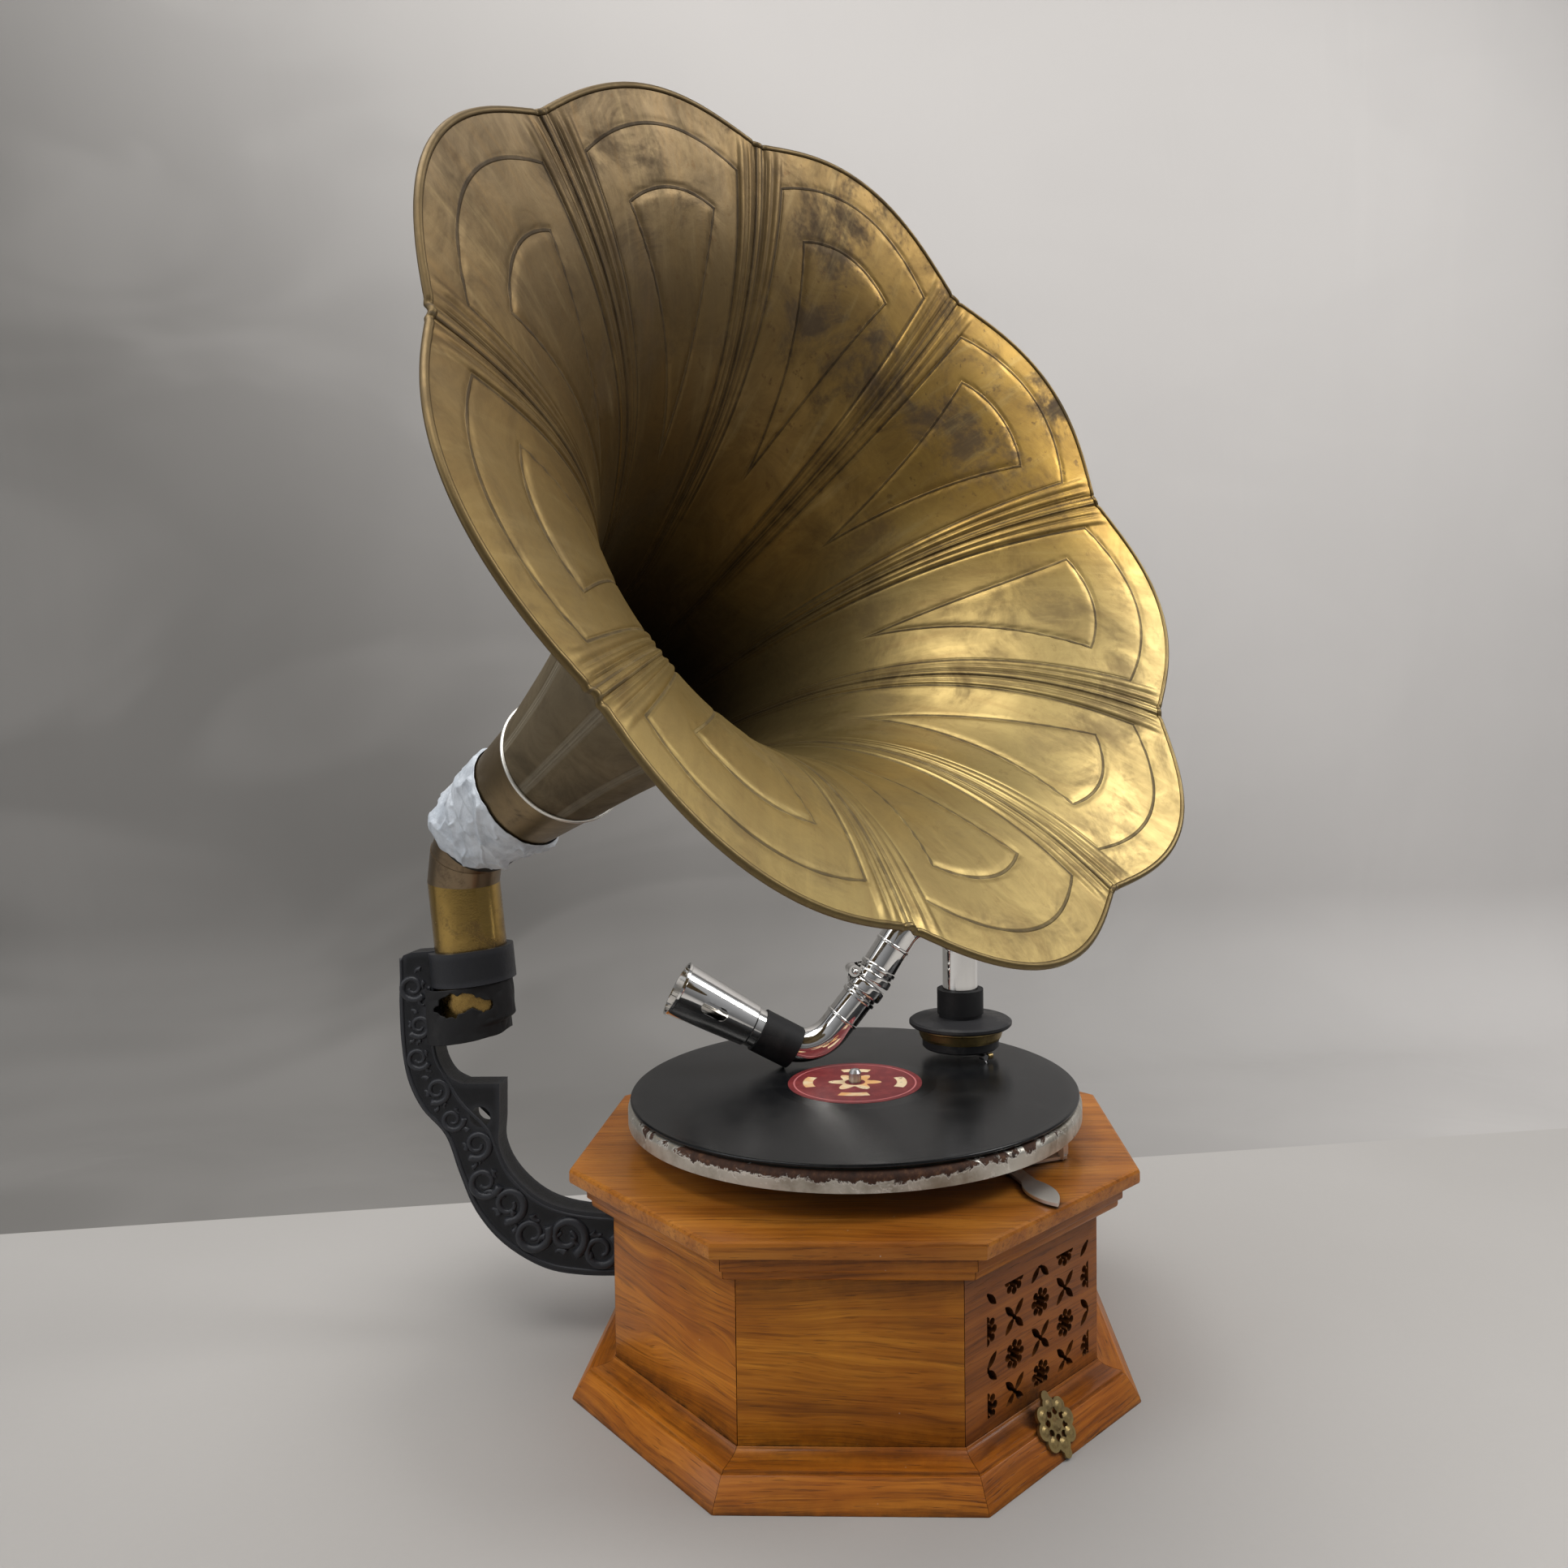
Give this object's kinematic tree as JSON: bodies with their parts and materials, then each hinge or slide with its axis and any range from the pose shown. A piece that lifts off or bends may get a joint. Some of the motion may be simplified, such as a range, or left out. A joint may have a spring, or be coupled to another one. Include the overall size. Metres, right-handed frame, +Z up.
{
  "type": "horn gramophone",
  "caption": "Wind-up gramophone with an octagonal wooden case, fretwork panel and a petalled brass horn on a cast side bracket; tone arm rests loose on the record.",
  "frame": {"origin": "Centre of the octagonal case on the floor, straight under the turntable spindle.", "axes": "+Z up; -Y is the front flat of the case; +X is to the right as seen from the front; the bracket and horn are at -X and the winding crank at +Y."},
  "size_m": [0.4043, 0.556, 0.5794],
  "materials": {
    "case_wood": "satin varnish, golden brown",
    "trim_wood": "satin varnish, red brown",
    "board_wood": "bare",
    "ornament_brass": "worn",
    "black_iron": "satin black paint",
    "pipe_brass": "aged",
    "horn_brass": "aged, patchy",
    "black_rubber": "matt",
    "cloth_tape": "crumpled tape",
    "platter_steel": "worn plating, rust spots",
    "mat_felt": "felt",
    "record_shellac": "grooved",
    "label_paper": "paper",
    "bare_steel": "bare",
    "arm_nickel": "bright, a little worn",
    "soundbox_black": "matt black",
    "soundbox_brass": "turned",
    "mica": "thin pressed sheet",
    "lever_enamel": "white metal",
    "pad_leather": "bare",
    "motor_iron": "grey paint",
    "gear_brass": "machined",
    "grip_wood": "turned, dark"
  },
  "bodies": {
    "case": {"base_board": "board_wood", "plinth": "trim_wood", "front_panel": "case_wood", "fretwork_panel": "case_wood", "right_panel": "case_wood", "back_right_panel": "case_wood", "back_panel": "case_wood", "back_left_panel": "case_wood", "left_panel": "case_wood", "front_left_panel": "case_wood", "top_moulding": "trim_wood", "lid_board": "trim_wood", "rosette": "ornament_brass", "horn_bracket": "black_iron", "bracket_screws": "black_iron", "lever_screw": "bare_steel", "motor_top_plate": "motor_iron", "motor_bottom_plate": "motor_iron", "motor_pillars": "bare_steel", "governor_bearings": "bare_steel", "crank_escutcheon": "bare_steel"},
    "horn": {"horn_pipe": "pipe_brass", "horn_elbow": "pipe_brass", "pipe_collar": "black_rubber", "horn_sleeve": "black_rubber", "tape_wrap": "cloth_tape", "horn_neck": "horn_brass", "neck_ring": "ornament_brass", "horn_bell": "horn_brass"},
    "platter": {"turntable": "platter_steel", "turntable_mat": "mat_felt", "record": "record_shellac", "record_label": "label_paper", "spindle": "bare_steel"},
    "arm": {"arm_cone": "arm_nickel", "arm_sleeve": "black_rubber", "arm_tube": "arm_nickel", "knuckle_pin": "arm_nickel"},
    "neck": {"gooseneck": "arm_nickel"},
    "soundbox": {"soundbox_sleeve": "black_rubber", "soundbox_back": "soundbox_black", "soundbox_housing": "soundbox_brass", "soundbox_front": "soundbox_black", "diaphragm": "mica", "stylus_bar": "bare_steel", "needle": "bare_steel"},
    "clamp_screw": {"needle_screw": "soundbox_brass"},
    "lever": {"brake_lever": "lever_enamel", "brake_pad": "pad_leather"},
    "barrel": {"spring_barrel": "gear_brass", "mainspring": "bare_steel"},
    "arbor": {"barrel_arbor": "bare_steel"},
    "pawl": {"ratchet_pawl": "bare_steel"},
    "idler": {"idler_gear": "gear_brass"},
    "governor": {"governor_shaft": "bare_steel", "governor_weights": "gear_brass"},
    "regulator": {"regulator_arm": "bare_steel"},
    "crank": {"winding_shaft": "bare_steel", "crank_arm": "arm_nickel"},
    "grip": {"crank_grip": "grip_wood"}
  },
  "joints": [
    {"name": "turntable_spin", "type": "hinge", "parent": "case", "child": "platter", "pos_m": [0, 0, 0.14], "axis": [0, 0, 1], "continuous": true},
    {"name": "horn_swivel", "type": "hinge", "parent": "case", "child": "horn", "pos_m": [-0.2175, 0, 0.216], "axis": [-0.0872, 0, 0.9962], "range_deg": [-60, 60]},
    {"name": "arm_lift", "type": "slide", "parent": "case", "child": "arm", "axis": [0, 0, 1], "range_m": [0, 0.45]},
    {"name": "knuckle_fold", "type": "hinge", "parent": "arm", "child": "neck", "pos_m": [-0.00168, 0.04048, 0.20358], "axis": [0.2351, -0.972, 0], "range_deg": [0, 90]},
    {"name": "soundbox_turn", "type": "hinge", "parent": "neck", "child": "soundbox", "pos_m": [0.06389, 0.05634, 0.1772], "axis": [0, 0, 1], "range_deg": [-45, 45]},
    {"name": "needle_screw_turn", "type": "hinge", "parent": "soundbox", "child": "clamp_screw", "pos_m": [0.07664, 0.03854, 0.1505], "axis": [0.8131, 0.5821, 0], "range_deg": [0, 360]},
    {"name": "brake_swing", "type": "hinge", "parent": "case", "child": "lever", "pos_m": [0.07875, -0.06065, 0.123], "axis": [0, 0, 1], "range_deg": [0, 6]},
    {"name": "idler_spin", "type": "hinge", "parent": "case", "child": "idler", "pos_m": [0.00841, 0.02755, 0.077], "axis": [0, 0, 1], "continuous": true},
    {"name": "barrel_spin", "type": "hinge", "parent": "case", "child": "barrel", "pos_m": [-0.022, 0.05, 0.095], "axis": [0, 0, 1], "continuous": true},
    {"name": "governor_spin", "type": "hinge", "parent": "case", "child": "governor", "pos_m": [0.02, -0.0245, 0.0902], "axis": [1, 0, 0], "continuous": true},
    {"name": "crank_turn", "type": "hinge", "parent": "case", "child": "crank", "pos_m": [-0.022, 0.126, 0.066], "axis": [0, 1, 0], "continuous": true},
    {"name": "arbor_spin", "type": "hinge", "parent": "case", "child": "arbor", "pos_m": [-0.022, 0.05, 0.06], "axis": [0, 0, 1], "continuous": true},
    {"name": "grip_spin", "type": "hinge", "parent": "crank", "child": "grip", "pos_m": [0.03, 0.17, 0.066], "axis": [0, 1, 0], "continuous": true},
    {"name": "pawl_swing", "type": "hinge", "parent": "case", "child": "pawl", "pos_m": [-0.036, 0.036, 0.049], "axis": [0, 0, 1], "range_deg": [-8, 12]},
    {"name": "regulator_swing", "type": "hinge", "parent": "case", "child": "regulator", "pos_m": [0.062, 0.004, 0.09], "axis": [0, 0, 1], "range_deg": [0, 8]}
  ],
  "couplings": [
    {"joint": "idler_spin", "follows": "turntable_spin", "ratio": -0.2},
    {"joint": "barrel_spin", "follows": "turntable_spin", "ratio": 0.033333},
    {"joint": "governor_spin", "follows": "turntable_spin", "ratio": -16.667},
    {"joint": "arbor_spin", "follows": "crank_turn", "ratio": 0.33333}
  ]
}
